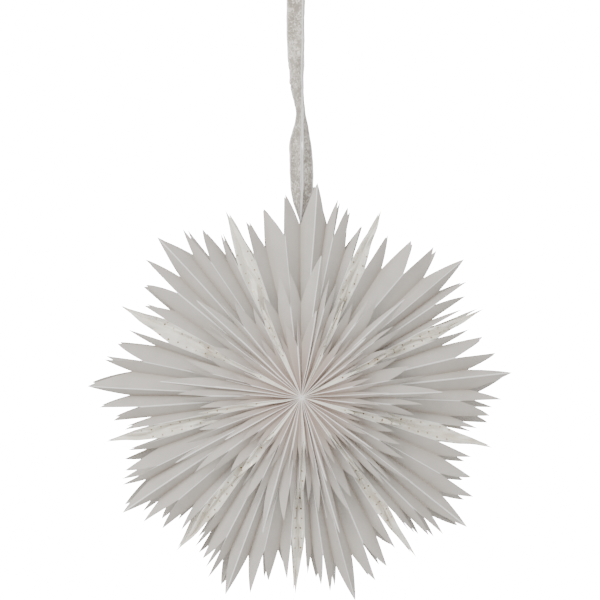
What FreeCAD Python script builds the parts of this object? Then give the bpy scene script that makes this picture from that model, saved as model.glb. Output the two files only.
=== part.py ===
import FreeCAD, Part
import math
import os

# Hanging paper star. Millimetres, +Z up, the front faces -Y. The origin is the inside top of the
# ribbon loop, where a hook carries the star. Angles run clockwise from straight up, seen from the front.

# ---- driving dimensions ----
STAR_DROP = 480.0        # the star's axis hangs this far under the hook
TIER_DEPTH = [27.0, 50.0, 72.0]   # ridge planes of the outer, middle and inner tier, off the middle
VALLEY_SLOPE = 0.068     # a valley crease sinks this much behind its ridges per mm of radius
PAPER = 0.25             # paper thickness measured along the star's axis
PANEL_T = 0.15           # radial panel of one gusset
SPINE_T = 0.4            # two panels glued back to back
CARD_T = 0.5             # closing panel
CARD_GAP = 1.0           # room between the two closing panels for the ribbon's tail
INNER_R = 8.0            # radius where the folds begin
SPINE_INNER_R = 2.5
CARD_INNER_R = 26.0
RIBBON_W = 20.0
RIBBON_T = 0.8
RIBBON_EYE_R = 7.0
RIBBON_JOIN = 235.0      # the two strands meet this far above the star's axis
RIBBON_END = 125.0       # the tail is glued down to this radius

# tip and notch radii per tier: outer, middle, inner
TALL_TIP = [226.0, 149.0, 91.0]
TALL_NOTCH = [180.0, 98.0, 55.0]
FLANK_TIP = [214.0, 130.0, 81.0]
FLANK_NOTCH = [169.0, 93.0, 52.0]
WIDE_TIP = [203.0, 124.0, 76.0]
WIDE_NOTCH = [160.0, 88.0, 50.0]
SIDE_TIP = [192.0, 108.0, 68.0]
SIDE_NOTCH = [150.0, 81.0, 47.0]
DOTTED_TIP = [214.0, 110.0, 63.0]

# the opened fan is set out by hand, so its leaves stand at slightly uneven angles
SPINE_AT = [4.4, 50.2, 83.9, 128.5, 165.1, 200.6, 236.6, 272.4, 317.8]
DOTTED_AT = [23.7, 65.1, 105.6, 144.4, 181.4, 218.4, 256.3, 296.4, 337.9]
CLOSURE_AT = 360.0

# shares of the angle from a tall leaf to the dotted leaf on its right, and on to the next tall leaf
RIGHT_SHARES = [0.21, 0.39, 0.67, 0.82]
LEFT_SHARES = [0.13, 0.34, 0.62, 0.85]

os.makedirs("parts", exist_ok=True)
COUNT = len(SPINE_AT)
CENTRE = FreeCAD.Vector(0, 0, -STAR_DROP)
TIERS = len(TIER_DEPTH)


def spot(radius, angle, aside=0.0):
    """Front-view point (x, z) at a radius, moved sideways, clockwise positive."""
    a = math.radians(angle)
    x = radius * math.sin(a) + aside * math.cos(a)
    z = radius * math.cos(a) - aside * math.sin(a)
    return x, z


def prism(points, direction):
    """Solid from a flat closed outline swept along a vector."""
    ring = [FreeCAD.Vector(*p) for p in points]
    ring.append(ring[0])
    return Part.Face(Part.makePolygon(ring)).extrude(direction)


def fold_face(tier, side, ridge, valley, ridge_r, valley_r, tip_r, tip_share, inner, ridge_off, valley_off):
    """One flat paper face from a ridge to a valley crease. side is -1 for the front, +1 for the back.
    Its plane holds the ridge line and sinks towards the middle in proportion to the distance from it."""
    way = 1.0 if valley > ridge else -1.0
    width = abs(valley - ridge)
    outline = [
        spot(inner, ridge, way * ridge_off),
        spot(ridge_r, ridge, way * ridge_off),
    ]
    if tip_r:
        outline.append(spot(tip_r, ridge + way * width * tip_share))
    outline.append(spot(valley_r, valley, -way * valley_off))
    outline.append(spot(inner, valley, -way * valley_off))
    steep = VALLEY_SLOPE / math.sin(math.radians(width))
    a = math.radians(ridge)
    points = []
    for x, z in outline:
        off_ridge = way * (x * math.cos(a) - z * math.sin(a))
        y = TIER_DEPTH[tier] - steep * off_ridge
        points.append((x, side * y, z))
    return prism(points, FreeCAD.Vector(0, -side * PAPER, 0))


def panel(angle, aside, thick, profile, inner):
    """Flat radial panel. profile is (radius, half depth) from the outermost tier's middle to the front."""
    half = [(inner, TIER_DEPTH[-1])] + profile[::-1]
    ring = half + [(r, -y) for r, y in half[::-1]]
    points = []
    for r, y in ring:
        x, z = spot(r, angle, aside)
        points.append((x, y, z))
    x, z = spot(0, angle, thick)
    return prism(points, FreeCAD.Vector(x, 0, z))


def stepped(radii):
    """Panel profile with a plain step at each tier, from the middle outwards in depth."""
    profile = []
    for tier in range(TIERS):
        depth = TIER_DEPTH[tier]
        profile.append((radii[tier], depth))
        if tier + 1 < TIERS:
            profile.append((radii[tier + 1], depth))
    return profile


def horned(tips, notches):
    """Panel profile whose corners rise to a tip at each ridge, as the tall leaves are cut."""
    profile = []
    for tier in range(TIERS):
        depth = TIER_DEPTH[tier]
        profile.append((notches[tier], depth - VALLEY_SLOPE * notches[tier]))
        profile.append((tips[tier], depth))
        if tier + 1 < TIERS:
            profile.append((notches[tier + 1], depth))
    return profile


def save(name, pieces):
    solid = pieces[0]
    if len(pieces) > 1:
        solid = pieces[0].fuse(pieces[1:]).removeSplitter()
    if solid.ShapeType == "Compound" and len(solid.Solids) == 1:
        solid = solid.Solids[0]
    solid.translate(CENTRE)
    solid.exportStep("parts/%s.step" % name)
    print(name, solid.ShapeType, len(solid.Solids), round(solid.Volume, 1), solid.isValid())


# The five kinds of paper face: (tips, share of the way from ridge to valley, ridge notch, valley notch)
TALL = (None, 0.0, TALL_TIP, TALL_NOTCH)
FLANK = (FLANK_TIP, 0.22, FLANK_NOTCH, TALL_NOTCH)
WIDE = (WIDE_TIP, 0.66, FLANK_NOTCH, WIDE_NOTCH)
SIDE = (SIDE_TIP, 0.25, SIDE_NOTCH, WIDE_NOTCH)
DOTTED = (None, 0.0, SIDE_NOTCH, DOTTED_TIP)


def faces(kind, ridge, valley, inner=INNER_R, ridge_off=0.0, valley_off=0.0):
    """One kind of face in every tier, front and back."""
    tips, share, at_ridge, at_valley = kind
    made = []
    for tier in range(TIERS):
        tip = tips[tier] if tips else 0.0
        for side in (-1, 1):
            made.append(
                fold_face(tier, side, ridge, valley, at_ridge[tier], at_valley[tier],
                          tip, share, inner, ridge_off, valley_off)
            )
    return made


def gusset(name, left, valley, right, left_kind, right_kind, left_spine=False, right_spine=False):
    """A folded gusset between two ridge seams, with its own panel at each seam that has no spine leaf."""
    half = SPINE_T / 2
    pieces = faces(left_kind, left, valley, ridge_off=half if left_spine else 0.0)
    pieces += faces(right_kind, right, valley, ridge_off=half if right_spine else 0.0)
    if not left_spine:
        low = [min(a, b) for a, b in zip(left_kind[2], left_kind[3])]
        pieces.append(panel(left, 0.0, PANEL_T, stepped(low), INNER_R + 2))
    if not right_spine:
        low = [min(a, b) for a, b in zip(right_kind[2], right_kind[3])]
        pieces.append(panel(right, -PANEL_T, PANEL_T, stepped(low), INNER_R + 2))
    save(name, pieces)


for n in range(COUNT):
    here = SPINE_AT[n]
    dotted = DOTTED_AT[n]
    after = SPINE_AT[(n + 1) % COUNT] + (360.0 if n == COUNT - 1 else 0.0)
    r1, r2, r3, r4 = [here + s * (dotted - here) for s in RIGHT_SHARES]
    l1, l2, l3, l4 = [dotted + s * (after - dotted) for s in LEFT_SHARES]
    next_n = (n + 1) % COUNT + 1

    # tall spine leaf, then the folds to its right up to the next tall leaf
    save("spine_leaf_%d" % (n + 1),
         [panel(here, -SPINE_T / 2, SPINE_T, horned(TALL_TIP, TALL_NOTCH), SPINE_INNER_R)])
    gusset("inner_gusset_right_%d" % (n + 1), here, r1, r2, TALL, FLANK, left_spine=True)
    gusset("outer_gusset_right_%d" % (n + 1), r2, r3, r4, WIDE, SIDE)
    gusset("dotted_leaf_%d" % (n + 1), r4, dotted, l1, DOTTED, DOTTED)
    gusset("outer_gusset_left_%d" % next_n, l1, l2, l3, SIDE, WIDE)
    if next_n > 1:
        gusset("inner_gusset_left_%d" % next_n, l3, l4, after, FLANK, TALL, right_spine=True)
        continue

    # the fan's two ends meet at the closure, in the valley to the left of the first tall leaf
    out = CARD_GAP / 2 + CARD_T
    low = [min(a, b) for a, b in zip(FLANK_NOTCH, TALL_NOTCH)]
    save("closing_gusset_left",
         faces(FLANK, l3, CLOSURE_AT, inner=CARD_INNER_R, valley_off=out)
         + [panel(l3, 0.0, PANEL_T, stepped(low), CARD_INNER_R)])
    low = [min(a, b) for a, b in zip(TALL_TIP, TALL_NOTCH)]
    save("closing_gusset_right",
         faces(TALL, after, CLOSURE_AT, inner=CARD_INNER_R, ridge_off=SPINE_T / 2, valley_off=out)
         + [panel(after, -SPINE_T / 2 - PANEL_T, PANEL_T, stepped(low), CARD_INNER_R)])

# closing panels, one each side of the closure
card = stepped([r - 1.0 for r in TALL_NOTCH])
card = [(r, y - VALLEY_SLOPE * r) for r, y in card]
card_front = TIER_DEPTH[-1] - VALLEY_SLOPE * CARD_INNER_R


def closing_panel(name, aside):
    half = [(CARD_INNER_R, card_front)] + card[::-1]
    ring = half + [(r, -y) for r, y in half[::-1]]
    points = []
    for r, y in ring:
        x, z = spot(r, CLOSURE_AT, aside)
        points.append((x, y, z))
    x, z = spot(0, CLOSURE_AT, CARD_T)
    save(name, [prism(points, FreeCAD.Vector(x, 0, z))])


closing_panel("closing_panel_left", -CARD_GAP / 2 - CARD_T)
closing_panel("closing_panel_right", CARD_GAP / 2)

# Ribbon: a teardrop loop seen face-on from the front, then a tail turned edge-on into the closure.
top = STAR_DROP - RIBBON_EYE_R
sharp = STAR_DROP - RIBBON_EYE_R - RIBBON_JOIN


def teardrop(grow):
    """Outline in the Y-Z plane: half a circle on top, running down to a blunt point."""
    r = RIBBON_EYE_R + grow
    low = top - sharp - grow * 2
    p = [FreeCAD.Vector(-RIBBON_W / 2, y, z) for y, z in
         ((-r, top), (0, top + r), (r, top), (grow * 0.6, low), (-grow * 0.6, low))]
    edges = [Part.Arc(p[0], p[1], p[2]).toShape(), Part.makeLine(p[2], p[3])]
    if grow:
        edges.append(Part.makeLine(p[3], p[4]))
    edges.append(Part.makeLine(p[4], p[0]))
    return Part.Face(Part.Wire(edges)).extrude(FreeCAD.Vector(RIBBON_W, 0, 0))


loop = teardrop(RIBBON_T).cut(teardrop(0.0))
tail_top = RIBBON_JOIN + 6.0
tail = Part.makeBox(RIBBON_T, RIBBON_W, tail_top - RIBBON_END,
                    FreeCAD.Vector(CARD_GAP / 2 - RIBBON_T, -RIBBON_W / 2, RIBBON_END))
tail.rotate(FreeCAD.Vector(0, 0, 0), FreeCAD.Vector(0, 1, 0), CLOSURE_AT)
save("ribbon_loop", [loop, tail])
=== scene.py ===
import math
from collections import namedtuple

import bpy
import mathutils
import numpy as np
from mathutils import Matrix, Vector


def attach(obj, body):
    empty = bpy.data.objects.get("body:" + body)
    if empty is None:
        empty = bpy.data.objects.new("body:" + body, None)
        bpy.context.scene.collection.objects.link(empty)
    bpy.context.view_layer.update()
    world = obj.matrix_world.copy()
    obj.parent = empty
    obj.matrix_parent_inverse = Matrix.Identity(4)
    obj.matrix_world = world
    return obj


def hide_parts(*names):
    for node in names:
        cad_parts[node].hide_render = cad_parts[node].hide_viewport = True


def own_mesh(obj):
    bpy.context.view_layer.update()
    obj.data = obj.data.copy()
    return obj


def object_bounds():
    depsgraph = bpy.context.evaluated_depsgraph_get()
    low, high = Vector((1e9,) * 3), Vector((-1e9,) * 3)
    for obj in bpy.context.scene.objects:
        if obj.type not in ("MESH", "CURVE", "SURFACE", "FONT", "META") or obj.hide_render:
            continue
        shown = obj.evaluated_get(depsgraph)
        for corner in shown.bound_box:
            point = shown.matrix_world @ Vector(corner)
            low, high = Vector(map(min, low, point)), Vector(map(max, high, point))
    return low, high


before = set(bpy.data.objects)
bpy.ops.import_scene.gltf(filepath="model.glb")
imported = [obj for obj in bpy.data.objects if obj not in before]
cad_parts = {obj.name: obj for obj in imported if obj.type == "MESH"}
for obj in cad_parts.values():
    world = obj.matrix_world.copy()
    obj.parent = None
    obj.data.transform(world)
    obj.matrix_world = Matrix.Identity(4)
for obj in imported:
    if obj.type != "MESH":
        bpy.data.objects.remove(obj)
CAD_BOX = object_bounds()
RNG = np.random.default_rng(9)

# ---------------------------------------------------------------- sizes, metres and degrees
# The star's axis runs along Y through AXIS_Z; angles run clockwise from straight up, seen from the front.
# Every triple is for the outer, middle and inner tier. A side is -1 at the front and 1 at the back.
AXIS_Z = -0.480
DEPTHS = (0.027, 0.050, 0.072)  # ridge planes, off the middle
VALLEY_SLOPE = 0.068  # how fast the valleys sink as the radius grows
SPINE_AT = (4.4, 50.2, 83.9, 128.5, 165.1, 200.6, 236.6, 272.4, 317.8)
DOTTED_AT = (23.7, 65.1, 105.6, 144.4, 181.4, 218.4, 256.3, 296.4, 337.9)
CLOSURE_AT = 360.0
RIGHT_SHARES = (0.21, 0.39, 0.67, 0.82)
LEFT_SHARES = (0.13, 0.34, 0.62, 0.85)
UNITS = len(SPINE_AT)
UNIT_LINES = 10  # ridges and creases in one unit, from a tall leaf to the next

TALL_TIP = (0.226, 0.149, 0.091)
TALL_NOTCH = (0.180, 0.098, 0.055)
FLANK_TIP = (0.214, 0.130, 0.081)
FLANK_NOTCH = (0.169, 0.093, 0.052)
WIDE_TIP = (0.203, 0.124, 0.076)
WIDE_NOTCH = (0.160, 0.088, 0.050)
SIDE_TIP = (0.192, 0.108, 0.068)
SIDE_NOTCH = (0.150, 0.081, 0.047)
DOTTED_TIP = (0.214, 0.110, 0.063)

PAPER_T = 0.00022
PANEL_T = 0.00018
PANEL_INSET = PANEL_T * 0.6  # a seam panel stands this far inside its ridge
SPINE_T = 0.0004
CLOSING_GAP = 0.00012  # each closing fold stops this far from the closure
HUB_R = 0.0004
HUB_DEPTH = 0.0007  # extra depth of the valleys between the hub and the notches

# Leans: how far round a line is carried from its even place.
LEAN = (3.4, -3.0, 3.6, -0.7, -1.3, -5.0, 5.0, 4.5, -4.0)  # the middle tier's, at each tall leaf
INNER_LEAN = 1.2  # the inner tier leans by this share of the middle's
BACK_TURN = -0.6  # and the back by this share of the front's
# The back's outer tier stands round from the front's, so that it shows between the front's tips.
BACK_AT = (0, 30, 60, 105, 125, 150, 165, 190, 220, 250, 290, 330, 360)
BACK_LEAN = (0, 0.5, 1.2, 3.2, 2.4, 2.2, -0.8, 1.2, 1.6, 0.6, -0.8, 0.6, 0)
BACK_SHARE = (1.0, 1.0, 0.9, 0.8, 0.55, 0.1, 0.55, 0.8, 0.9, 1.0)  # for each line, least at a dotted leaf
# Middle and inner ridges lean over their valleys, this way for a while and then that way.
TILT = (0.0, 1.3, 1.8)
TILT_WAVES = (0, 5, 7)
TILT_PHASE = 60
PINCH = {4: 0.95, 6: -0.7}  # the ridges beside a dotted leaf squeeze it
LEAN_REACH = 3  # a lean is complete at one part in this many of the way out

# Hand work: the most that a line or a tip strays, and how tiers share it.
BOW_MOST = 0.5
NUDGE_MOST = 1.15
NUDGE_FRONT_RIM = 0.15  # only the outer tier's front is set out with care
NUDGE_INNER = 0.8
LIFT_MOST = 0.0036
LIFT_SHARE = (0.35, 0.8, 1.0)
LIFT_ROUND = 1.5
TIP_STRAY, TIP_RANGE = 0.09, (0.06, 0.9)  # across the width
TIP_UNEVEN = (0.008, 0.03, 0.04)  # along the leaf

# Grids of the paper faces: rows along the radius, columns across the width.
ROWS, COLS = 15, 9
LIMP_ROWS, LIMP_COLS = 34, 13
PANEL_COLS = 12
CRUMPLE = (0.003, 0.0012, 0.0007)
CREASE_STRAY = 0.75
LIMP_SINK = 0.8
OVERLAID_SINK = 0.96  # over the front edge of a closing panel

CAMERA_BACK = 2.0
CAMERA_RISE = 0.101
CAMERA_ASIDE = -0.043
AIM_ASIDE = -0.0016
LENS = 111.5


# ---------------------------------------------------------------- the fan's lines
def fan_lines():
    """Base angle of each ridge and crease, ten to a unit: even ones are ridges, odd ones are valleys.
    Between a tall leaf and a dotted leaf a line stands at a set share of the way."""
    lines = []
    for n in range(UNITS):
        here, dotted = SPINE_AT[n], DOTTED_AT[n]
        after = SPINE_AT[(n + 1) % UNITS] + (360.0 if n == UNITS - 1 else 0.0)
        lines.append(here)
        lines += [here + s * (dotted - here) for s in RIGHT_SHARES]
        lines.append(dotted)
        lines += [dotted + s * (after - dotted) for s in LEFT_SHARES]
    lines[-1] = CLOSURE_AT
    return np.array(lines)


LINES = fan_lines()
EACH = (len(LINES), 3, 2)  # one value for each line, tier and side, the front first
# sideways bow along the line
BOW = RNG.uniform(-BOW_MOST, BOW_MOST, EACH)
# stray from the even place
NUDGE = RNG.uniform(-NUDGE_MOST, NUDGE_MOST, EACH)
NUDGE[:, 0, 0] *= NUDGE_FRONT_RIM
NUDGE[:, 2, :] *= NUDGE_INNER
# how far the line bellies out between the hub and the notches
LIFT = RNG.uniform(0.0, LIFT_MOST, EACH) * np.array(LIFT_SHARE)[None, :, None]
for table in (BOW, NUDGE, LIFT):
    table[-1] = 0.0


def lean_at(tier, side, angle):
    """Sideways shift of a tier at an angle, eased between the tall leaves and nil at the closure."""
    angle = angle % 360.0
    if tier == 0:
        return float(np.interp(angle, BACK_AT, BACK_LEAN)) if side > 0 else 0.0
    front = float(np.interp(angle, [0.0, *SPINE_AT, 360.0], [0.0, *LEAN, 0.0]))
    share = 1.0 if tier == 1 else INNER_LEAN
    return front * share * (1.0 if side < 0 else BACK_TURN)


def line_lift(k, tier, side, r):
    """How far line k stands proud of its tier's plane at radius r: a power of half a sine, nil past the notch."""
    s = np.clip(r / TALL_NOTCH[tier], 0, 1)
    return LIFT[k % len(LINES), tier, (side + 1) // 2] * np.sin(np.pi * s) ** LIFT_ROUND


def line_angle(k, tier, side, r):
    """Angle of line k at radius r: its base, plus its leans and stray, which grow straight from nil at the
    hub, plus a bow, which is a parabola of the radius and nil at both ends."""
    turn = 360.0 if k >= len(LINES) else 0.0
    k %= len(LINES)
    in_unit = k % UNIT_LINES
    s = np.clip(r / TALL_TIP[tier], 0, 1)
    extra = lean_at(tier, side, LINES[k]) * (BACK_SHARE[in_unit] if tier == 0 else 1.0)
    extra += NUDGE[k, tier, (side + 1) // 2]
    if tier and in_unit in PINCH:
        extra += PINCH[in_unit]
    elif tier and k % 2 == 0:
        extra += TILT[tier] * math.sin(math.radians(LINES[k] * TILT_WAVES[tier] + TILT_PHASE * tier))
    bow = BOW[k, tier, (side + 1) // 2] * 4 * s * (1 - s)
    return LINES[k] + turn + extra * np.clip(s * LEAN_REACH, 0, 1) + bow


# ---------------------------------------------------------------- outlines of the paper faces
# tips: radius of the tip; at: the tip's share of the width from ridge to valley; ridge_notch and
# valley_notch: radius of the cut there; rise and fall: roundness of the cut on either side of the tip
Cut = namedtuple("Cut", "tips at ridge_notch valley_notch rise fall")
TALL = Cut(TALL_TIP, 0.0, TALL_TIP, TALL_NOTCH, 1.0, 1.1)
FLANK = Cut(FLANK_TIP, 0.22, FLANK_NOTCH, TALL_NOTCH, 0.85, 1.12)
WIDE = Cut(WIDE_TIP, 0.66, FLANK_NOTCH, WIDE_NOTCH, 1.25, 1.0)
SIDE = Cut(SIDE_TIP, 0.25, SIDE_NOTCH, WIDE_NOTCH, 0.9, 1.12)
DOTTED = Cut(DOTTED_TIP, 1.0, SIDE_NOTCH, DOTTED_TIP, 0.86, 1.0)

# How one folded sheet hangs: its belly between the folds, its curl at the tip, the depth of its dents.
Hang = namedtuple("Hang", "belly curl dents")


def columns(cut, count):
    """Widthways parameters from ridge (0) to valley (1), gathered round the tip so that it stays sharp:
    a power of an even spacing on each side of it."""
    gather = np.linspace(0, 1, count)
    parts = []
    if cut.at > 0:
        parts.append(cut.at * (1 - (1 - gather) ** 1.6))
    if cut.at < 1:
        parts.append(cut.at + (1 - cut.at) * gather**1.6)
    return np.unique(np.round(np.concatenate(parts), 6))


def outline(cut, tier, w):
    """Radius of the cut edge: it falls from the tip to each notch as a power of the share of the way there."""
    tip = cut.tips[tier]
    to_ridge = np.clip((cut.at - w) / max(cut.at, 1e-6), 0, 1)
    to_valley = np.clip((w - cut.at) / max(1 - cut.at, 1e-6), 0, 1)
    ridge_fall = (tip - cut.ridge_notch[tier]) * to_ridge**cut.rise
    return tip - ridge_fall - (tip - cut.valley_notch[tier]) * to_valley**cut.fall


def varied(cut):
    """The same cut, made by hand: its tip moves a little across and along."""
    at, tips = cut.at, cut.tips
    if 0 < at < 1:
        at = float(np.clip(at + RNG.normal(0, TIP_STRAY), *TIP_RANGE))
    if tips is not TALL_TIP:
        uneven = RNG.normal(0, 1, 3) * TIP_UNEVEN
        tips = tuple(t * (1 + u) for t, u in zip(tips, uneven))
    valley_notch = tips if cut.valley_notch is cut.tips else cut.valley_notch
    return cut._replace(tips=tips, at=at, valley_notch=valley_notch)


def lower_notches(cut):
    """The nearer of a cut's two notches in each tier."""
    return [min(a, b) for a, b in zip(cut.ridge_notch, cut.valley_notch)]


# ---------------------------------------------------------------- meshes
def shell(grid, coords, thick):
    """Closed thin shell round a grid of points: each face stands off by half the thickness along the surface
    normal, which is the cross product of the grid's two slopes. thick is one value or one for each point;
    coords are what the shading reads at each point."""
    thick = np.broadcast_to(thick, grid.shape[:2])[..., None]
    rows, cols = grid.shape[:2]
    normal = np.cross(np.gradient(grid, axis=0), np.gradient(grid, axis=1))
    normal /= np.maximum(np.linalg.norm(normal, axis=2, keepdims=True), 1e-12)
    above = (grid + normal * thick / 2).reshape(-1, 3)
    below = (grid - normal * thick / 2).reshape(-1, 3)
    index = np.arange(rows * cols).reshape(rows, cols)
    a, b, c, d = index[:-1, :-1], index[1:, :-1], index[1:, 1:], index[:-1, 1:]
    top = np.stack([a, b, c, d], axis=-1).reshape(-1, 4)
    under = top[:, ::-1] + rows * cols
    rim = np.concatenate([index[:, 0], index[-1, 1:], index[::-1, -1][1:], index[0, ::-1][1:-1]])
    after = np.roll(rim, -1)
    wall = np.stack([after, rim, rim + rows * cols, after + rows * cols], axis=-1)
    verts = np.concatenate([above, below])
    return verts, np.concatenate([top, under, wall]), np.concatenate([coords.reshape(rows * cols, -1)] * 2)


def join(shells):
    """Vertices, quads and surface coordinates of several shells as one mesh."""
    verts, faces, coords, base = [], [], [], 0
    for v, f, c in shells:
        verts.append(v)
        faces.append(f + base)
        coords.append(c)
        base += len(v)
    return np.concatenate(verts), np.concatenate(faces), np.concatenate(coords)


def make_object(name, shells, material, crease_deg=24.0):
    """One piece from its shells; bends sharper than crease_deg stay sharp. Map "surface" holds the distance
    from the ridge and the radius; map "fold" holds the share of the width and a number for the face."""
    verts, faces, coords = join(shells)
    mesh = bpy.data.meshes.new(name)
    mesh.vertices.add(len(verts))
    mesh.vertices.foreach_set("co", verts.astype(np.float32).ravel())
    mesh.loops.add(faces.size)
    mesh.loops.foreach_set("vertex_index", faces.astype(np.int32).ravel())
    mesh.polygons.add(len(faces))
    mesh.polygons.foreach_set("loop_start", np.arange(0, faces.size, 4, dtype=np.int32))
    mesh.polygons.foreach_set("loop_total", np.full(len(faces), 4, np.int32))
    mesh.update(calc_edges=True)
    for map_name, part in (("surface", coords[:, :2]), ("fold", coords[:, 2:])):
        layer = mesh.uv_layers.new(name=map_name)
        layer.data.foreach_set("uv", part[faces.ravel()].astype(np.float32).ravel())
    mesh.validate()
    mesh.shade_smooth()
    mesh.set_sharp_from_angle(angle=math.radians(crease_deg))
    obj = bpy.data.objects.new(name, mesh)
    bpy.context.collection.objects.link(obj)
    mesh.materials.append(material)
    return obj


def place(r, angle, y, aside=0.0):
    """Points at a radius and an angle clockwise from straight up, y back from the middle, moved aside
    square to that angle."""
    a = np.radians(angle)
    x = r * np.sin(a) + aside * np.cos(a)
    z = AXIS_Z + r * np.cos(a) - aside * np.sin(a)
    return np.stack([x, y + 0 * r, z], axis=-1)


# ---------------------------------------------------------------- folded faces
def crumple(r, w, size):
    """Soft diagonal dents: the sum of three squared sines of radius and width, nil at the ridge and crease."""
    dents = np.zeros(np.broadcast(r, w).shape)
    for _ in range(3):
        along, across, phase = RNG.uniform(40, 110), RNG.uniform(-3.5, 3.5), RNG.uniform(0, 2 * np.pi)
        wave = np.sin(along * r + across * w + phase)
        dents += (1 - 2 * wave**2) * RNG.uniform(0.5, 1.0)
    clear_of_hub = np.clip((r - 0.03) / 0.05, 0, 1)
    return size * dents * np.sin(np.pi * np.clip(w, 0, 1)) * clear_of_hub


def wander(r, reach):
    """How a limp crease strays sideways: two slow sines of radius, nil at the hub and at the tip."""
    stray = np.sin(r * RNG.uniform(60, 90) + RNG.uniform(0, 6)) + 0.6 * np.sin(r * 140 + RNG.uniform(0, 6))
    return stray * np.sin(np.pi * np.clip(r / reach, 0, 1))


def half_fold(cut, ridge_k, valley_k, tier, side, hang, aside=0.0, stray=None):
    """One face from ridge to valley. It sinks with radius and width, bellies by half a sine of the width,
    and curls as the square of the way from the notches to the tip. aside moves the crease off the closure;
    stray gives radii and the degrees by which the crease wanders there."""
    w = columns(cut, LIMP_COLS if hang.dents else COLS)[None, :]
    edge = outline(cut, tier, w[0])[None, :]
    u = (np.linspace(0, 1, LIMP_ROWS if hang.dents else ROWS) ** 0.9)[:, None]
    r = HUB_R + (edge - HUB_R) * u
    ridge = line_angle(ridge_k, tier, side, r)
    valley = line_angle(valley_k, tier, side, r)
    if stray is not None:
        valley = valley + np.interp(r, *stray)
    sink = w + hang.belly * np.sin(np.pi * w) * np.clip(r / edge.max(), 0, 1)
    if hang.dents:
        sink = sink * LIMP_SINK
    if aside:
        sink = sink * OVERLAID_SINK
    free = np.clip((r / TALL_TIP[tier] - 0.62) / 0.38, 0, 1) ** 2
    deep = VALLEY_SLOPE * r + HUB_DEPTH * np.sin(np.pi * np.clip(r / TALL_NOTCH[tier], 0, 1))
    proud = line_lift(ridge_k, tier, side, r) * (1 - w) + line_lift(valley_k, tier, side, r) * w
    curl = hang.curl * free * np.sin(np.pi * np.clip(w * 0.9 + 0.1, 0, 1))
    y = DEPTHS[tier] + proud - deep * sink + curl
    if hang.dents:
        y = y + crumple(r, w, hang.dents)
    points = place(r, ridge + (valley - ridge) * w, side * y)
    if aside:
        a = np.radians(valley)
        shift = aside * w * np.clip((r - 0.003) / 0.02, 0, 1)
        points[..., 0] += shift * np.cos(a)
        points[..., 2] -= shift * np.sin(a)
    from_ridge = r * np.radians(np.abs(valley - ridge)) * w
    face_number = tier + 0.1 * ridge_k
    return points, np.stack([from_ridge, r, w + 0 * r, 0 * r + face_number], axis=-1)


def seam_panel(k, aside, thick, notches, tips=None):
    """Flat-cut panel between front and back at line k, in five bands of depth that reach the notches of
    their tier. If tips are given, the edge rises to them at each ridge plane, as a curve of the second
    degree. Across a band the angle goes straight from one ridge plane's to the next."""
    made = []
    planes = [-DEPTHS[2], -DEPTHS[1], -DEPTHS[0], DEPTHS[0], DEPTHS[1], DEPTHS[2]]
    plane_tiers = (2, 1, 0, 0, 1, 2)
    plane_sides = (-1, -1, -1, 1, 1, 1)
    for band, tier in enumerate((2, 1, 0, 1, 2)):
        low, high = planes[band], planes[band + 1]
        t = np.linspace(0, 1, 13 if tier == 0 else 7)[:, None]
        y = low + (high - low) * t
        deepest = VALLEY_SLOPE * notches[tier]
        reach = np.minimum(np.abs(np.abs(y) - DEPTHS[tier]), deepest) / deepest
        edge = notches[tier] + 0 * y
        if tips:
            edge = edge + (tips[tier] - notches[tier]) * (1 - (0.7 * reach + 0.3 * reach**2))
        r = HUB_R + (edge - HUB_R) * np.linspace(0, 1, PANEL_COLS)[None, :]
        first = line_angle(k, plane_tiers[band], plane_sides[band], r)
        second = line_angle(k, plane_tiers[band + 1], plane_sides[band + 1], r)
        points = place(r, first * (1 - t) + second * t, y, aside)
        coords = np.stack([DEPTHS[tier] - np.abs(y) + 0 * r, r, 0.5 * reach + 0 * r, 0 * r + tier], axis=-1)
        made.append(shell(points, coords, thick))
    return made


def gusset_shells(k, left_cut, right_cut, left_panel=True, right_panel=True):
    """A folded gusset over lines k, k+1 and k+2, in every tier, front and back, with its seam panels.
    Its left and right face share the crease on line k+1."""
    made = []
    limp = left_cut is DOTTED
    for tier in range(3):
        for side in (-1, 1):
            hang = Hang(RNG.normal(-0.03, 0.06), RNG.normal(0.0008, 0.0013), CRUMPLE[tier] if limp else 0.0)
            left_made, right_made = varied(left_cut), varied(right_cut)
            stray = None
            if limp:
                right_made = left_made
                run = np.linspace(0, 0.25, 120)
                stray = (run, CREASE_STRAY * wander(run, left_made.tips[tier]))
            left, left_coords = half_fold(left_made, k, k + 1, tier, side, hang, stray=stray)
            right, right_coords = half_fold(right_made, k + 2, k + 1, tier, side, hang, stray=stray)
            points = np.concatenate([left, right[:, ::-1][:, 1:]], axis=1)
            coords = np.concatenate([left_coords, right_coords[:, ::-1][:, 1:]], axis=1)
            if side > 0:
                points, coords = points[:, ::-1], coords[:, ::-1]
            made.append(shell(points, coords, PAPER_T))
    if left_panel:
        made += seam_panel(k, PANEL_INSET, PANEL_T, lower_notches(left_cut))
    if right_panel:
        made += seam_panel(k + 2, -PANEL_INSET, PANEL_T, lower_notches(right_cut))
    return made


def half_gusset_shells(cut, ridge_k, valley_k, aside, panel):
    """One half of the gusset where the fan's two ends meet, its crease moved aside of the closure."""
    made = []
    for tier in range(3):
        for side in (-1, 1):
            hang = Hang(RNG.normal(-0.03, 0.05), RNG.normal(0.0007, 0.0011), 0.0)
            points, coords = half_fold(cut, ridge_k, valley_k, tier, side, hang, aside)
            if (side > 0) == (ridge_k < valley_k):
                points, coords = points[:, ::-1], coords[:, ::-1]
            made.append(shell(points, coords, PAPER_T))
    if panel:
        made += seam_panel(ridge_k, PANEL_INSET, PANEL_T, lower_notches(cut))
    return made


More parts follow.
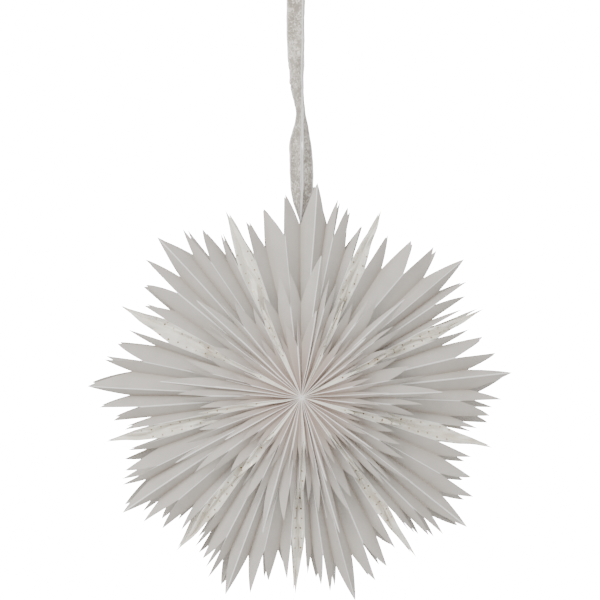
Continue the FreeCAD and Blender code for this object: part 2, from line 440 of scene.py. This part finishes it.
# ---------------------------------------------------------------- shading: small helpers
def node(tree, kind, **values):
    """A new node with some of its settings."""
    made = tree.nodes.new(kind)
    for key, value in values.items():
        setattr(made, key, value)
    return made


def feed(tree, socket, value):
    """Link an output to a socket, or set a plain value on it."""
    if hasattr(value, "is_output"):
        tree.links.new(value, socket)
    else:
        socket.default_value = value


def math_node(tree, operation, *values):
    """The result of one operation on links or plain values."""
    made = node(tree, "ShaderNodeMath", operation=operation)
    for socket, value in zip(made.inputs, values):
        feed(tree, socket, value)
    return made.outputs[0]


def mix(tree, a, b, factor):
    """Colour between a and b."""
    made = node(tree, "ShaderNodeMix", data_type="RGBA")
    for socket, value in ((made.inputs[0], factor), (made.inputs[6], a), (made.inputs[7], b)):
        feed(tree, socket, value)
    return made.outputs[2]


def ramp(tree, value, low, high):
    """0 below low, 1 above high, eased."""
    made = node(tree, "ShaderNodeMapRange", interpolation_type="SMOOTHSTEP")
    feed(tree, made.inputs["Value"], value)
    made.inputs["From Min"].default_value = low
    made.inputs["From Max"].default_value = high
    return made.outputs["Result"]


def spread(tree, value, low, high):
    """A value of 0 to 1, spread from low to high."""
    made = node(tree, "ShaderNodeMapRange")
    feed(tree, made.inputs["Value"], value)
    made.inputs["To Min"].default_value = low
    made.inputs["To Max"].default_value = high
    return made.outputs["Result"]


def noise(tree, where, scale, **values):
    """Cloudy noise over the piece's own coordinates; values are the node's other inputs."""
    made = node(tree, "ShaderNodeTexNoise")
    made.inputs["Scale"].default_value = scale
    for name, value in values.items():
        made.inputs[name].default_value = value
    tree.links.new(where.outputs["Object"], made.inputs["Vector"])
    return made.outputs["Fac"]


def draw_of(tree, value):
    """A number from 0 to 1 drawn for each value."""
    made = node(tree, "ShaderNodeTexWhiteNoise", noise_dimensions="1D")
    tree.links.new(value, made.inputs["W"])
    return made.outputs["Value"]


def map_parts(tree, map_name):
    """The two parts of one of the piece's maps."""
    uv = node(tree, "ShaderNodeUVMap", uv_map=map_name)
    split = node(tree, "ShaderNodeSeparateXYZ")
    tree.links.new(uv.outputs["UV"], split.inputs[0])
    return split.outputs["X"], split.outputs["Y"]


def relief(tree, shader, height, strength, distance):
    """Fine relief on the surface."""
    made = node(tree, "ShaderNodeBump")
    made.inputs["Strength"].default_value = strength
    made.inputs["Distance"].default_value = distance
    tree.links.new(height, made.inputs["Height"])
    tree.links.new(made.outputs["Normal"], shader.inputs["Normal"])


def start_material(name, viewport):
    """An empty material: itself, its tree, its output and its main shader."""
    mat = bpy.data.materials.new(name)
    mat.use_nodes = True
    mat.diffuse_color = viewport
    tree = mat.node_tree
    tree.nodes.clear()
    return mat, tree, node(tree, "ShaderNodeOutputMaterial"), node(tree, "ShaderNodeBsdfPrincipled")


def end_thin(tree, out, shader, color, share):
    """End a thin material: a share of the light passes through the sheet, tinted by its colour."""
    through = node(tree, "ShaderNodeBsdfTranslucent")
    tree.links.new(color, through.inputs["Color"])
    blend = node(tree, "ShaderNodeMixShader")
    blend.inputs[0].default_value = share
    tree.links.new(shader.outputs[0], blend.inputs[1])
    tree.links.new(through.outputs[0], blend.inputs[2])
    tree.links.new(blend.outputs[0], out.inputs["Surface"])


# ---------------------------------------------------------------- shading: paper
def group(name, inputs, outputs):
    """An empty node group: its tree, its input node and its output node."""
    tree = bpy.data.node_groups.new(name, "ShaderNodeTree")
    for socket, value in inputs:
        kind = "NodeSocketColor" if isinstance(value, tuple) else "NodeSocketFloat"
        tree.interface.new_socket(socket, in_out="INPUT", socket_type=kind).default_value = value
    for socket, kind in outputs:
        tree.interface.new_socket(socket, in_out="OUTPUT", socket_type=kind)
    return tree, tree.nodes.new("NodeGroupInput"), tree.nodes.new("NodeGroupOutput")


def paper_group():
    """Smooth art paper: faint mottling and tooth, pale ridge lines that are partly the bare paper edge and partly
    a painted highlight, and painted shade near the hub and in the valleys.
    """
    tree, given, out = group(
        "paper",
        [
            ("Paper", (0.5, 0.5, 0.5, 1)),
            ("Ridge highlight", (0.8, 0.8, 0.8, 1)),
            ("Hub shade", (0.5, 0.5, 0.5, 1)),
            ("Valley", (0.4, 0.3, 0.2, 1)),
            ("Fold width", 0.0006),
        ],
        [("Color", "NodeSocketColor"), ("Roughness", "NodeSocketFloat"), ("Height", "NodeSocketFloat")],
    )
    where = node(tree, "ShaderNodeTexCoord")
    cloud = noise(tree, where, 38.0, Detail=3.0)
    tooth = noise(tree, where, 900.0, Detail=4.0)
    from_ridge, radius = map_parts(tree, "surface")
    across, face_number = map_parts(tree, "fold")

    darker = node(tree, "ShaderNodeHueSaturation")
    darker.inputs["Value"].default_value = 0.93
    tree.links.new(given.outputs["Paper"], darker.inputs["Color"])
    body = mix(tree, given.outputs["Paper"], darker.outputs["Color"], ramp(tree, cloud, 0.35, 0.7))
    # painted shade: darker and warmer towards the hub, where the folds crowd together
    body = mix(tree, given.outputs["Hub shade"], body, ramp(tree, radius, 0.0, 0.11))
    # painted shade: darker and warmer towards each valley crease
    valley_shade_share = math_node(tree, "MULTIPLY", ramp(tree, across, 0.55, 1.0), 0.6)
    body = mix(tree, body, given.outputs["Valley"], valley_shade_share)

    # the pale ridge line, partly the bare paper edge and partly a painted highlight, narrows towards the hub, and
    # its width differs at random from seam to seam
    narrow = math_node(tree, "MULTIPLY", given.outputs["Fold width"], ramp(tree, radius, -0.015, 0.055))
    seam_line_width_draw = math_node(tree, "MULTIPLY_ADD", draw_of(tree, face_number), 0.9, 0.45)
    line = math_node(tree, "DIVIDE", from_ridge, math_node(tree, "MULTIPLY", narrow, seam_line_width_draw))
    color = mix(tree, given.outputs["Ridge highlight"], body, ramp(tree, line, 0.55, 1.25))

    tree.links.new(color, out.inputs["Color"])
    tree.links.new(spread(tree, tooth, 0.72, 0.86), out.inputs["Roughness"])
    tree.links.new(tooth, out.inputs["Height"])
    return tree


PAPER_GROUP = paper_group()


def paper_material(name, paper, fold, hub, valley, fold_width, glow):
    """Folded paper in one set of colours; glow is the share of light that comes through."""
    mat, tree, out, shader = start_material(name, paper)
    look = node(tree, "ShaderNodeGroup", node_tree=PAPER_GROUP)
    # the fold colour is partly the bare paper edge and partly a painted ridge highlight; the hub and valley
    # colours are painted shade
    given = {"Paper": paper, "Ridge highlight": fold, "Hub shade": hub, "Valley": valley, "Fold width": fold_width}
    for socket, value in given.items():
        look.inputs[socket].default_value = value
    tree.links.new(look.outputs["Color"], shader.inputs["Base Color"])
    tree.links.new(look.outputs["Roughness"], shader.inputs["Roughness"])
    relief(tree, shader, look.outputs["Height"], 0.08, 0.0004)
    shader.inputs["Specular IOR Level"].default_value = 0.25
    end_thin(tree, out, shader, look.outputs["Color"], glow)
    return mat


# ---------------------------------------------------------------- shading: vellum
DOT_PITCH = 0.0105
DOT_ROW = 0.0022  # from the ridge to the nearest dots, and from there to the farthest
DOT_EDGE = (0.0006, 0.0012)
PEARL = (1.0, 0.965, 0.87, 1)
# painted shade: the duller, browner cream of the vellum's shaded patches
PEARL_SHADE = (0.80, 0.71, 0.57, 1)
GOLD = (0.30, 0.19, 0.06, 1)
GOLD_WORN = (0.62, 0.53, 0.39, 1)


def vellum_material():
    """Pearl vellum: satin cream with a soft cloudy sheen and cloudy patches of painted brownish shade, and a row
    of small gold dots along each half. A dot is a disc round a point that repeats along the radius; some dots are
    worn."""
    mat, tree, out, shader = start_material("pearl_vellum", (0.85, 0.8, 0.7, 1))
    where = node(tree, "ShaderNodeTexCoord")
    from_ridge, radius = map_parts(tree, "surface")
    _, face_number = map_parts(tree, "fold")
    step = math_node(tree, "DIVIDE", radius, DOT_PITCH)
    dot = math_node(tree, "FLOOR", step)
    along = math_node(tree, "SUBTRACT", math_node(tree, "FRACT", step), 0.5)
    along = math_node(tree, "MULTIPLY", along, DOT_PITCH)
    row = math_node(tree, "ADD", math_node(tree, "MULTIPLY", draw_of(tree, dot), DOT_ROW), DOT_ROW)
    across = math_node(tree, "SUBTRACT", from_ridge, row)
    squares = (math_node(tree, "MULTIPLY", along, along), math_node(tree, "MULTIPLY", across, across))
    far = math_node(tree, "SQRT", math_node(tree, "ADD", *squares))
    off_dot = ramp(tree, far, *DOT_EDGE)

    both = node(tree, "ShaderNodeCombineXYZ")
    tree.links.new(dot, both.inputs[0])
    tree.links.new(face_number, both.inputs[1])
    worn = node(tree, "ShaderNodeTexWhiteNoise", noise_dimensions="2D")
    tree.links.new(both.outputs[0], worn.inputs["Vector"])
    gold = mix(tree, GOLD, GOLD_WORN, ramp(tree, worn.outputs["Value"], 0.15, 0.6))
    cloud = noise(tree, where, 30.0, Detail=2.0, Distortion=0.6)
    # painted shade: cloudy patches of duller, browner cream
    cream = mix(tree, PEARL, PEARL_SHADE, ramp(tree, cloud, 0.54, 0.80))
    color = mix(tree, gold, cream, off_dot)

    tree.links.new(color, shader.inputs["Base Color"])
    tree.links.new(spread(tree, cloud, 0.22, 0.42), shader.inputs["Roughness"])
    tree.links.new(spread(tree, off_dot, 0.8, 0.0), shader.inputs["Metallic"])
    shader.inputs["Coat Weight"].default_value = 0.5
    shader.inputs["Coat Roughness"].default_value = 0.25
    shader.inputs["Sheen Weight"].default_value = 0.5
    relief(tree, shader, noise(tree, where, 45.0, Detail=1.5, Distortion=0.8), 0.6, 0.004)
    end_thin(tree, out, shader, color, 0.18)
    return mat


# ---------------------------------------------------------------- shading: velvet
PILE_DULL = (0.42, 0.375, 0.315, 1)
PILE_MIDDLING = (0.55, 0.50, 0.43, 1)
# painted sheen: the silvery cast of the crushed pile where it catches the light
PILE_SHEEN = (1.0, 0.96, 0.87, 1)
SELVAGE = (0.96, 0.955, 0.94, 1)
SELVAGE_EDGE = (0.0015, 0.0020)  # the selvage's colour gives way to the pile's between these distances


def velvet_material():
    """Crushed velvet: the pile lies this way and that, so its sheen is painted into the colour as silvery patches
    beside dull ones.
    """
    mat, tree, out, shader = start_material("crushed_velvet", (0.5, 0.48, 0.45, 1))
    where = node(tree, "ShaderNodeTexCoord")
    patches = noise(tree, where, 280.0, Detail=5.0, Roughness=0.65, Distortion=1.2)
    broad = noise(tree, where, 75.0, Detail=2.0)
    pile = noise(tree, where, 1800.0)
    dull = mix(tree, PILE_DULL, PILE_MIDDLING, ramp(tree, broad, 0.4, 0.6))
    # the painted silvery sheen gathers more in some places than in others
    gathered = math_node(tree, "MULTIPLY_ADD", broad, 0.22, patches)
    color = mix(tree, dull, PILE_SHEEN, ramp(tree, gathered, 0.585, 0.715))
    from_edge, _ = map_parts(tree, "surface")
    color = mix(tree, SELVAGE, color, ramp(tree, from_edge, *SELVAGE_EDGE))
    tree.links.new(color, shader.inputs["Base Color"])
    tree.links.new(spread(tree, patches, 0.85, 0.45), shader.inputs["Roughness"])
    shader.inputs["Sheen Weight"].default_value = 0.6
    shader.inputs["Sheen Roughness"].default_value = 0.4
    relief(tree, shader, math_node(tree, "MULTIPLY_ADD", pile, 0.3, patches), 0.8, 0.002)
    end_thin(tree, out, shader, color, 0.3)
    return mat


# fold is partly the bare paper edge and partly a painted ridge highlight; hub and valley are painted shade
PAPER = paper_material(
    "folded_paper",
    paper=(0.615, 0.583, 0.54, 1),
    fold=(1.0, 0.985, 0.96, 1),
    hub=(0.395, 0.287, 0.24, 1),
    valley=(0.51, 0.45, 0.385, 1),
    fold_width=0.00062,
    glow=0.2,
)
VELLUM = vellum_material()
VELVET = velvet_material()


# ---------------------------------------------------------------- camera, light, floor
def camera():
    """A level camera in front of the star, a little above and to the left of its hub and turned towards it."""
    data = bpy.data.cameras.new("camera")
    data.lens = LENS
    data.sensor_width = 36.0
    pan = -math.atan2(AIM_ASIDE - CAMERA_ASIDE, CAMERA_BACK - DEPTHS[2])
    cam = bpy.data.objects.new("camera", data)
    cam.location = (CAMERA_ASIDE, -CAMERA_BACK, AXIS_Z + CAMERA_RISE)
    cam.rotation_euler = (math.radians(90.0), 0.0, pan)
    bpy.context.collection.objects.link(cam)
    bpy.context.scene.camera = cam


def softbox(name, location, size, power, color):
    """A round soft lamp that faces the hub."""
    data = bpy.data.lights.new(name, "AREA")
    data.shape = "DISK"
    data.size = size
    data.energy = power
    data.color = color
    lamp = bpy.data.objects.new(name, data)
    lamp.location = location
    toward = mathutils.Vector((0.0, 0.0, AXIS_Z)) - mathutils.Vector(location)
    lamp.rotation_mode = "QUATERNION"
    lamp.rotation_quaternion = toward.to_track_quat("-Z", "Y")
    bpy.context.collection.objects.link(lamp)


def white_room(lit_strength=1.22, seen_strength=24.0):
    """Even white surroundings; what the camera sees behind the star is brighter than what lights it."""
    world = bpy.data.worlds.new("room")
    world.use_nodes = True
    tree = world.node_tree
    tree.nodes.clear()
    lit = node(tree, "ShaderNodeBackground")
    lit.inputs["Color"].default_value = (1.0, 0.995, 0.985, 1)
    lit.inputs["Strength"].default_value = lit_strength
    seen = node(tree, "ShaderNodeBackground")
    seen.inputs["Strength"].default_value = seen_strength
    path = node(tree, "ShaderNodeLightPath")
    blend = node(tree, "ShaderNodeMixShader")
    out = node(tree, "ShaderNodeOutputWorld")
    tree.links.new(path.outputs["Is Camera Ray"], blend.inputs[0])
    tree.links.new(lit.outputs[0], blend.inputs[1])
    tree.links.new(seen.outputs[0], blend.inputs[2])
    tree.links.new(blend.outputs[0], out.inputs["Surface"])
    bpy.context.scene.world = world


def floor(half_width=3.0, drop=0.9):
    """A pale floor, well below the hanging star."""
    z = CAD_BOX[0].z - drop
    corners = [(x * half_width, y * half_width, z) for x, y in ((-1, -1), (1, -1), (1, 1), (-1, 1))]
    mesh = bpy.data.meshes.new("floor")
    mesh.from_pydata(corners, [], [(0, 1, 2, 3)])
    obj = bpy.data.objects.new("floor", mesh)
    bpy.context.collection.objects.link(obj)
    mat, tree, out, shader = start_material("floor", (0.9, 0.9, 0.9, 1))
    shader.inputs["Base Color"].default_value = (0.82, 0.82, 0.81, 1)
    shader.inputs["Roughness"].default_value = 0.9
    tree.links.new(shader.outputs[0], out.inputs["Surface"])
    mesh.materials.append(mat)


camera()
softbox("key", (-1.05, -1.25, 0.35), 0.9, 30.5, (1.0, 0.99, 0.975))
softbox("fill", (1.8, -2.2, 0.0), 1.6, 8.0, (1.0, 0.995, 0.985))
white_room()
floor()


# ---------------------------------------------------------------- the ribbon
RIBBON_W = 0.020
RIBBON_T = 0.00042
SELVAGE_T = 0.0018
SELVAGE_FROM, SELVAGE_RISE = 0.79, 0.1  # shares of the half width
EYE_R = 0.007
# Heights above the star's axis; the front edge's sideways place; and how far the width swings
# from straight back towards the left (strand one) or the right (strand two).
STRAND_Z = (0.125, 0.190, 0.207, 0.231, 0.270, 0.303, 0.318, 0.340, 0.395, 0.425, 0.455, 0.473)
ONE_SWING = (0, 0, 26, 37, 44, 9, 29, 46, 62, 66, 56, 40)
TWO_SWING = (0, 0, 30, 42, 30, 8, 3, 0, -2, -5, -22, -40)
FRONT_X = (0.0, 0.0006, 0.0013, 0.0018, 0.0020, 0.0021, 0.0023, 0.0028, 0.0034, 0.0034, 0.0030, 0.0025)
TOP_SWING = 40.0
STRAND_ROWS = 150
TURN_ROWS = 25
RIBBON_COLS = 21
STRAND_OFF = 0.00024  # each strand stands this far off the closure
CLOSER = 0.0001  # above the star the strands come this much nearer to it
HELD = 0.06  # length at each end that the closing panels hold flat
CRUSH = ((9, 0.00035), (4, 0.00022), (2, 0.00012))  # half width of a dent in grid steps, and its height
SLACK_AT, SLACK_LONG, SLACK_HIGH = 0.215, 0.022, 0.0007  # the wrinkles above the pinch


def strand(swings, way, layer):
    """Centreline points and width directions of one strand, from the closure up to the eye. The front edge
    keeps its place, and the width swings about it."""
    z = np.linspace(STRAND_Z[0], STRAND_Z[-1], STRAND_ROWS)

    def eased(values):
        """Straight between the listed heights, then averaged over a few rows."""
        fine = np.interp(z, STRAND_Z, values)
        kernel = np.hanning(13)
        padded = np.concatenate([np.full(6, fine[0]), fine, np.full(6, fine[-1])])
        return np.convolve(padded, kernel / kernel.sum(), "valid")

    swing = np.radians(eased(swings)) * way
    width = np.stack([-np.sin(swing), np.cos(swing), 0 * z], axis=-1)
    front = np.stack([eased(FRONT_X), np.full_like(z, -RIBBON_W / 2), AXIS_Z + z], axis=-1)
    flat = np.stack([np.cos(swing), np.sin(swing), 0 * z], axis=-1)
    centre = front + width * RIBBON_W / 2 + flat * layer
    centre[:, 0] -= math.copysign(CLOSER, layer) * np.clip((z - 0.186) / 0.02, 0, 1)
    return centre, width


def ribbon_path():
    """Centreline and width directions of the whole ribbon: up one strand, half a circle over the eye in a
    plane that both strands reach square on, and down the other."""
    one, w_one = strand(ONE_SWING, 1, -STRAND_OFF)
    two, w_two = strand(TWO_SWING, -1, STRAND_OFF)
    top = math.radians(TOP_SWING)
    across = np.array([math.cos(top), math.sin(top), 0.0])
    along = np.array([-math.sin(top), math.cos(top), 0.0])
    upright = np.array([0, 0, 1.0])
    z_top = AXIS_Z + STRAND_Z[-1]
    turn = np.linspace(math.pi, 0, TURN_ROWS)[:, None]
    arc = across * np.cos(turn) * EYE_R + upright * (np.sin(turn) * EYE_R + z_top)
    ease = np.linspace(0, 1, STRAND_ROWS)[:, None] ** 6
    one = one * (1 - ease) + (-across * EYE_R + one * upright) * ease
    two = two * (1 - ease) + (across * EYE_R + two * upright) * ease
    line = np.concatenate([one, arc[1:-1], two[::-1]])
    width = np.concatenate([w_one, np.repeat(along[None], len(arc) - 2, axis=0), w_two[::-1]])
    for _ in range(30):
        width[1:-1] = (width[:-2] + 2 * width[1:-1] + width[2:]) / 4
        width /= np.linalg.norm(width, axis=1, keepdims=True)
    return line, width


def crushed(s, t):
    """Relief of the crushed pile over length and width: smoothed noise of three sizes, plus slanting
    wrinkles above the pinch, which are a sine of both inside a bell of the length."""
    rough = np.zeros((len(s), len(t)))
    for scale, size in CRUSH:
        dents = RNG.normal(0, 1, rough.shape)
        kernel = np.hanning(scale * 2 + 1)[1:-1]
        kernel /= np.sqrt((kernel**2).sum())
        for axis in (0, 1):
            dents = np.apply_along_axis(lambda a: np.convolve(a, kernel, "same"), axis, dents)
        rough += size * dents
    slack = np.exp(-(((s - SLACK_AT) / SLACK_LONG) ** 2))[:, None]
    slant = 2 * np.pi * (s[:, None] / 0.013 + 0.8 * t[None, :]) + 2 * np.sin(s[:, None] * 300)
    return rough + SLACK_HIGH * slack * np.sin(slant)


def ribbon():
    """The ribbon, one strip carried along its path, with a thicker selvage down each edge."""
    line, width = ribbon_path()
    t = np.linspace(-1, 1, RIBBON_COLS)
    step = np.linalg.norm(np.diff(line, axis=0), axis=1)
    s = np.concatenate([[0], np.cumsum(step)])
    grid = line[:, None, :] + width[:, None, :] * (t * RIBBON_W / 2)[None, :, None]
    normal = np.cross(np.gradient(line, axis=0), width)
    normal /= np.linalg.norm(normal, axis=1, keepdims=True)
    loose = np.clip((s - HELD) / 0.03, 0, 1) * np.clip((s[-1] - s - HELD) / 0.03, 0, 1)
    grid += normal[:, None, :] * (crushed(s, t) * loose[:, None])[..., None]
    from_edge = (1 - np.abs(t))[None, :] * RIBBON_W / 2 + 0 * s[:, None]
    blank = 0 * from_edge
    coords = np.stack([from_edge, s[:, None] + blank, blank, blank], axis=-1)
    bead = np.clip((np.abs(t)[None, :] - SELVAGE_FROM) / SELVAGE_RISE, 0, 1)
    bead = bead * np.clip(loose * 3, 0, 1)[:, None]
    thick = RIBBON_T + (SELVAGE_T - RIBBON_T) * bead
    obj = make_object("velvet_ribbon", [shell(grid, coords, thick)], VELVET, 60.0)
    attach(obj, "closing_end_right")
    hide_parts("ribbon_loop")


ribbon()


# ---------------------------------------------------------------- the star
def lay(obj, body, joint, spine, node_name, slot, keep=0.03):
    """A paper piece rides with its tall leaf, and the CAD piece that it stands for is hidden."""
    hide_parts(node_name)
    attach(obj, body)
    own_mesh(obj)


def unit(n):
    """One ninth of the star: a tall leaf, two folded gussets, a dotted leaf and the two gussets before the
    next tall leaf. The last unit leaves out its last gusset, where the closing folds stand."""
    k = UNIT_LINES * n
    number = n + 1
    after = number % UNITS + 1
    joint = "fold_%d" % (number + 1)
    here = ("leaf_%d" % number, joint, n)
    there = ("leaf_%d" % after, joint, after - 1) if after > 1 else ("closing_end_left", joint, None)

    tall = make_object("tall_leaf_%d" % number, seam_panel(k, 0.0, SPINE_T, TALL_NOTCH, TALL_TIP), PAPER)
    lay(tall, *here, "spine_leaf_%d" % number, "spine_paper")
    # name, CAD node, its number, left cut, right cut, left seam panel, right seam panel, what it rides with
    gussets = (
        ("inner_fold_right_%d", "inner_gusset_right_%d", number, TALL, FLANK, False, True, here),
        ("outer_fold_right_%d", "outer_gusset_right_%d", number, WIDE, SIDE, True, True, here),
        ("dotted_leaf_%d_vellum", "dotted_leaf_%d", number, DOTTED, DOTTED, True, True, here),
        ("outer_fold_left_%d", "outer_gusset_left_%d", after, SIDE, WIDE, True, True, there),
        ("inner_fold_left_%d", "inner_gusset_left_%d", after, FLANK, TALL, True, False, there),
    )
    for index, (name, cad, which, left, right, left_panel, right_panel, carrier) in enumerate(gussets):
        if index == 4 and after == 1:
            continue
        material, slot = (VELLUM, "dotted_vellum") if left is DOTTED else (PAPER, "folded_paper")
        shells = gusset_shells(k + 2 * index, left, right, left_panel, right_panel)
        lay(make_object(name % which, shells, material), *carrier, cad % which, slot)


def closing_folds():
    """The two halves of the last gusset, on either side of the closure, and the finish of its panels."""
    last = len(LINES)
    shells = half_gusset_shells(FLANK, last - 2, last - 1, -CLOSING_GAP, True)
    left = make_object("closing_fold_left", shells, PAPER)
    lay(left, "closing_end_left", "fold_10", None, "closing_gusset_left", "folded_paper")
    shells = half_gusset_shells(TALL, last, last - 1, CLOSING_GAP, False)
    right = make_object("closing_fold_right", shells, PAPER)
    lay(right, "leaf_1", "fold_1", 0, "closing_gusset_right", "folded_paper", keep=0.05)
    for name in ("closing_panel_left", "closing_panel_right"):
        for slot in bpy.data.objects[name].material_slots:
            slot.material = PAPER


for n in range(UNITS):
    unit(n)
closing_folds()
